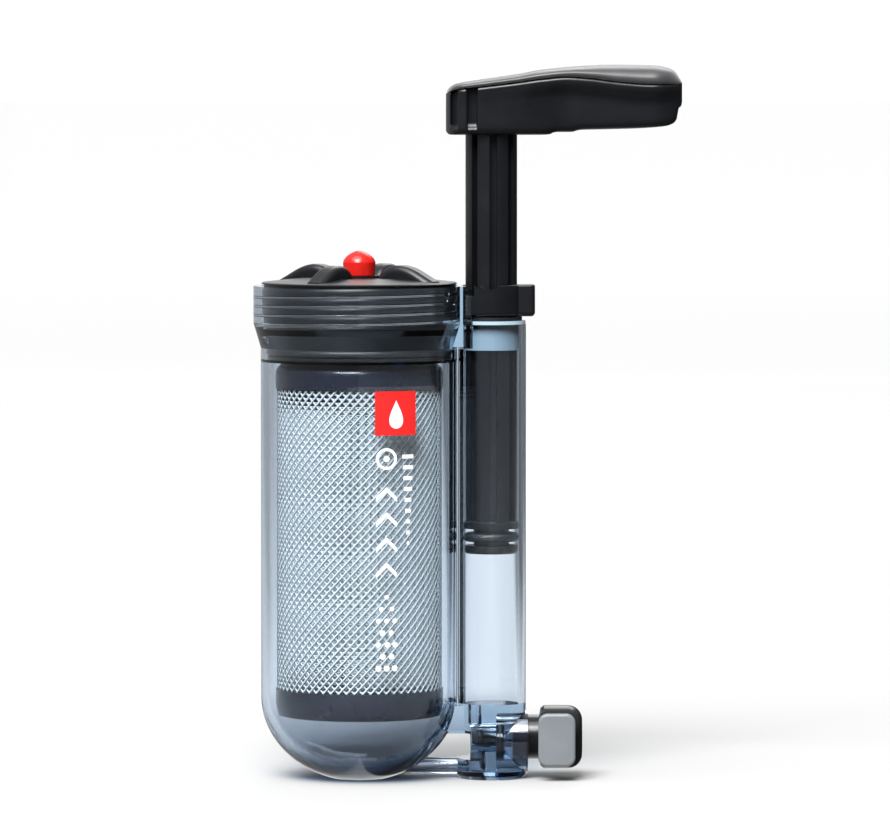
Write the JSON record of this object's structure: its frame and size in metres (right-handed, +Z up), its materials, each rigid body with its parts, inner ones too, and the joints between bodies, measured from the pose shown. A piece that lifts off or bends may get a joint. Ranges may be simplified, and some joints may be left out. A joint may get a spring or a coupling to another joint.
{
  "type": "pump water filter",
  "caption": "Hand pump water filter: clear chamber with pleated cartridge under a screw lid, side plunger pump with T-grip handle, capped outlet nipple and latched inlet coupling.",
  "frame": {"origin": "centre of the chamber's flat foot, on the surface it stands on", "axes": "+Z up along the chamber's axis, +X towards the pump and the inlet coupling, -Y the front, with the label and the latch pad"},
  "size_m": [0.1237, 0.0612, 0.2063],
  "materials": {
    "clear_blue": "clear smoke-blue polycarbonate",
    "black_plastic": "fine moulded texture",
    "black_gloss": "smooth moulded",
    "soft_grip": "satin soft-touch",
    "black_rubber": "satin",
    "red_rubber": "glossy",
    "grey_latch": "satin",
    "grey_plastic": "satin",
    "pale_bush": "satin",
    "dark_blue_cap": "satin",
    "net": "extruded net",
    "filter_media": "pleated glass-fibre paper",
    "white_plastic": "satin",
    "carbon": "granular carbon",
    "steel": "bright",
    "clear_film": "clear printed film"
  },
  "bodies": {
    "root": {"housing": "clear_blue", "inlet_adapter": "clear_blue", "adapter_o_ring": "black_rubber", "inlet_valve_seat": "black_plastic", "outlet_valve_seat": "grey_plastic", "guide_bush": "pale_bush", "rod_wiper": "black_rubber", "coupling_body": "black_gloss", "coupling_o_ring": "black_rubber", "latch_spring": "steel", "label": "clear_film"},
    "inlet_valve": {"inlet_valve_disc": "black_rubber"},
    "outlet_valve": {"outlet_valve_disc": "black_rubber"},
    "piston_seal": {"piston_o_ring": "black_rubber"},
    "plunger": {"pump_rod": "black_plastic", "handle_body": "black_plastic", "palm_pad": "soft_grip", "handle_screw": "steel"},
    "cartridge": {"cartridge_top_cap": "dark_blue_cap", "cartridge_o_ring": "black_rubber", "cartridge_bottom_cap": "dark_blue_cap", "mesh_sleeve": "net", "pleated_media": "filter_media", "core_tube": "white_plastic", "carbon_core": "carbon"},
    "screw_lid": {"lid": "black_plastic", "lid_o_ring": "black_rubber", "outlet_nipple": "black_plastic"},
    "nipple_cap": {"outlet_cap": "red_rubber"},
    "latch": {"coupling_latch": "grey_latch"},
    "clip": {"retainer_clip": "black_plastic"}
  },
  "joints": [
    {"name": "pump_stroke", "type": "slide", "parent": "root", "child": "piston_seal", "axis": [0, 0, 1], "range_m": [-0.0408, 0.0492]},
    {"name": "handle_swivel", "type": "hinge", "parent": "piston_seal", "child": "plunger", "pos_m": [0.0381, 0, 0.19], "axis": [0, 0, 1], "range_deg": [-100, 100]},
    {"name": "lid_rise", "type": "slide", "parent": "root", "child": "cartridge", "axis": [0, 0, 1], "range_m": [0, 0.0092]},
    {"name": "lid_turn", "type": "hinge", "parent": "cartridge", "child": "screw_lid", "pos_m": [0, 0, 0.144], "axis": [0, 0, 1], "range_deg": [0, 1260]},
    {"name": "outlet_cap_pull", "type": "slide", "parent": "screw_lid", "child": "nipple_cap", "axis": [0, 0, 1], "range_m": [0, 0.012]},
    {"name": "latch_press", "type": "slide", "parent": "root", "child": "latch", "axis": [0, 1, 0], "range_m": [0, 0.0022], "stiffness_N_per_m": 600, "springref_m": -0.003, "deforming": ["latch_spring"]},
    {"name": "retainer_slide", "type": "slide", "parent": "root", "child": "clip", "axis": [1, 0, 0], "range_m": [0, 0.022]},
    {"name": "inlet_valve_lift", "type": "slide", "parent": "root", "child": "inlet_valve", "axis": [-1, 0, 0], "range_m": [0, 0.0008]},
    {"name": "outlet_valve_lift", "type": "slide", "parent": "root", "child": "outlet_valve", "axis": [0, 0, -1], "range_m": [0, 0.0008]}
  ],
  "couplings": [
    {"joint": "lid_rise", "follows": "lid_turn", "m_per_rad": 0.0004138}
  ]
}
